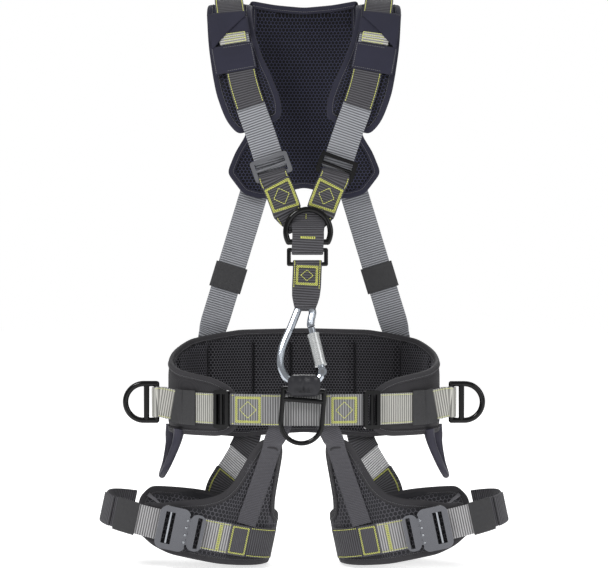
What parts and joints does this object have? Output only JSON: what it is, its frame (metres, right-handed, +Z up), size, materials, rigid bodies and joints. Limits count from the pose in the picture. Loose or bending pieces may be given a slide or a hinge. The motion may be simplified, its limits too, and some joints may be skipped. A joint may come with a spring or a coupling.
{
  "type": "work positioning harness",
  "caption": "Full-body climbing harness with padded waist belt, leg loops, shoulder yoke, attachment rings and a steel connector joining chest and waist.",
  "frame": {"origin": "centre of the waist opening at the belt webbing's height", "axes": "+Z up along the wearer's spine, -Y the wearer's front, +X the wearer's left"},
  "size_m": [0.6198, 0.3007, 0.8644],
  "materials": {
    "belt_fabric": "matt coated fabric with bound edges",
    "navy_fabric": "matt fabric and spacer mesh",
    "leg_fabric": "matt fabric and open spacer mesh",
    "silver_webbing": "ribbed polyester webbing",
    "grey_webbing": "ribbed polyester webbing",
    "dark_webbing": "ribbed polyester webbing",
    "black_sleeve": "close-woven tubular webbing",
    "elastic": "knitted elastic",
    "black_metal": "gloss black coated steel",
    "grey_metal": "grey anodised",
    "zinc_steel": "bright zinc plated",
    "moulded_plastic": "satin moulded"
  },
  "bodies": {
    "harness": {"belt_pad": "belt_fabric", "back_pad": "navy_fabric", "shoulder_pad_left": "navy_fabric", "shoulder_pad_right": "navy_fabric", "leg_pad_left": "leg_fabric", "leg_pad_right": "leg_fabric", "belt_webbing_front": "silver_webbing", "belt_webbing_left": "silver_webbing", "belt_webbing_right": "silver_webbing", "belt_webbing_rear": "dark_webbing", "chest_strap_left": "grey_webbing", "chest_strap_right": "grey_webbing", "chest_loop_left": "dark_webbing", "chest_loop_right": "dark_webbing", "back_strap_left": "grey_webbing", "back_strap_right": "grey_webbing", "sternal_fold": "dark_webbing", "sternal_strap": "dark_webbing", "ventral_loop": "black_sleeve", "ventral_bridge": "dark_webbing", "front_riser_left": "dark_webbing", "front_riser_right": "dark_webbing", "rear_riser_left": "grey_webbing", "rear_riser_right": "grey_webbing", "leg_strap_inner_left": "grey_webbing", "leg_strap_inner_right": "grey_webbing", "leg_strap_outer_left": "grey_webbing", "leg_strap_outer_right": "grey_webbing", "gear_loop_left": "moulded_plastic", "gear_loop_right": "moulded_plastic", "sternal_link": "black_metal", "dorsal_plate": "moulded_plastic", "carabiner_body": "zinc_steel", "carabiner_pin": "zinc_steel", "shoulder_adjuster_left": "grey_metal", "shoulder_adjuster_right": "black_metal", "belt_adjuster_left": "black_metal", "belt_adjuster_right": "black_metal", "leg_buckle_left": "grey_metal", "leg_buckle_right": "grey_metal", "leg_tongue_left": "grey_metal", "leg_tongue_right": "grey_metal", "belt_keepers": "elastic", "leg_keepers": "elastic"},
    "sternal_ring": {"sternal_ring": "black_metal"},
    "ventral_ring": {"ventral_ring": "black_metal"},
    "side_ring_left": {"side_ring_left": "black_metal"},
    "side_ring_right": {"side_ring_right": "black_metal"},
    "dorsal_ring": {"dorsal_ring": "black_metal"},
    "gate": {"carabiner_gate": "zinc_steel", "gate_spring": "zinc_steel"},
    "sleeve": {"carabiner_sleeve": "zinc_steel"},
    "shoulder_bar_left": {"shoulder_adjuster_bar_left": "grey_metal"},
    "belt_bar_left": {"belt_adjuster_bar_left": "black_metal"},
    "leg_bar_left": {"leg_buckle_bar_left": "grey_metal"},
    "back_keeper_left": {"back_keeper_left": "elastic"},
    "shoulder_bar_right": {"shoulder_adjuster_bar_right": "black_metal"},
    "belt_bar_right": {"belt_adjuster_bar_right": "black_metal"},
    "leg_bar_right": {"leg_buckle_bar_right": "grey_metal"},
    "back_keeper_right": {"back_keeper_right": "elastic"}
  },
  "joints": [
    {"name": "sternal_ring_swing", "type": "hinge", "parent": "harness", "child": "sternal_ring", "pos_m": [0.006, -0.12, 0.231], "axis": [1, 0, 0], "range_deg": [0, 110]},
    {"name": "ventral_ring_swing", "type": "hinge", "parent": "harness", "child": "ventral_ring", "pos_m": [0, -0.151, 0.018], "axis": [0.9969, 0, -0.0785], "range_deg": [-100, 0]},
    {"name": "side_ring_left_swing", "type": "hinge", "parent": "harness", "child": "side_ring_left", "pos_m": [-0.22, -0.058, -0.006], "axis": [0, 0, 1], "range_deg": [-70, 70]},
    {"name": "side_ring_right_swing", "type": "hinge", "parent": "harness", "child": "side_ring_right", "pos_m": [0.22, -0.058, -0.006], "axis": [0, 0, 1], "range_deg": [-70, 70]},
    {"name": "dorsal_ring_swing", "type": "hinge", "parent": "harness", "child": "dorsal_ring", "pos_m": [0, 0.131, 0.446], "axis": [1, 0, 0], "range_deg": [0, 110]},
    {"name": "gate_hinge", "type": "hinge", "parent": "harness", "child": "gate", "pos_m": [0.0265, -0.14678, 0.04322], "axis": [0, 0.9668, -0.2554], "range_deg": [-18, 0], "stiffness_Nm_per_rad": 0.3, "springref_deg": 5.73},
    {"name": "sleeve_twist", "type": "hinge", "parent": "gate", "child": "sleeve", "pos_m": [0.0265, -0.14678, 0.04322], "axis": [-0.2323, 0.2485, 0.9404], "range_deg": [0, 90], "stiffness_Nm_per_rad": 0.01, "springref_deg": -11.46},
    {"name": "shoulder_bar_left_slide", "type": "slide", "parent": "harness", "child": "shoulder_bar_left", "axis": [-0.3346, -0.0698, 0.9398], "range_m": [-0.004, 0.004]},
    {"name": "shoulder_bar_right_slide", "type": "slide", "parent": "harness", "child": "shoulder_bar_right", "axis": [0.3346, -0.0698, 0.9398], "range_m": [-0.004, 0.004]},
    {"name": "belt_bar_left_slide", "type": "slide", "parent": "harness", "child": "belt_bar_left", "axis": [0.9153, -0.4028, 0], "range_m": [-0.003, 0.003]},
    {"name": "belt_bar_right_slide", "type": "slide", "parent": "harness", "child": "belt_bar_right", "axis": [0.9477, 0.3191, 0], "range_m": [-0.003, 0.003]},
    {"name": "leg_bar_left_slide", "type": "slide", "parent": "harness", "child": "leg_bar_left", "axis": [0.9781, 0, -0.2079], "range_m": [-0.0035, 0.0035]},
    {"name": "leg_bar_right_slide", "type": "slide", "parent": "harness", "child": "leg_bar_right", "axis": [-0.9781, 0, -0.2079], "range_m": [-0.0035, 0.0035]},
    {"name": "back_keeper_left_slide", "type": "slide", "parent": "harness", "child": "back_keeper_left", "axis": [-0.2894, -0.0327, -0.9567], "range_m": [-0.025, 0.025]},
    {"name": "back_keeper_right_slide", "type": "slide", "parent": "harness", "child": "back_keeper_right", "axis": [0.2894, -0.0327, -0.9567], "range_m": [-0.025, 0.025]}
  ]
}
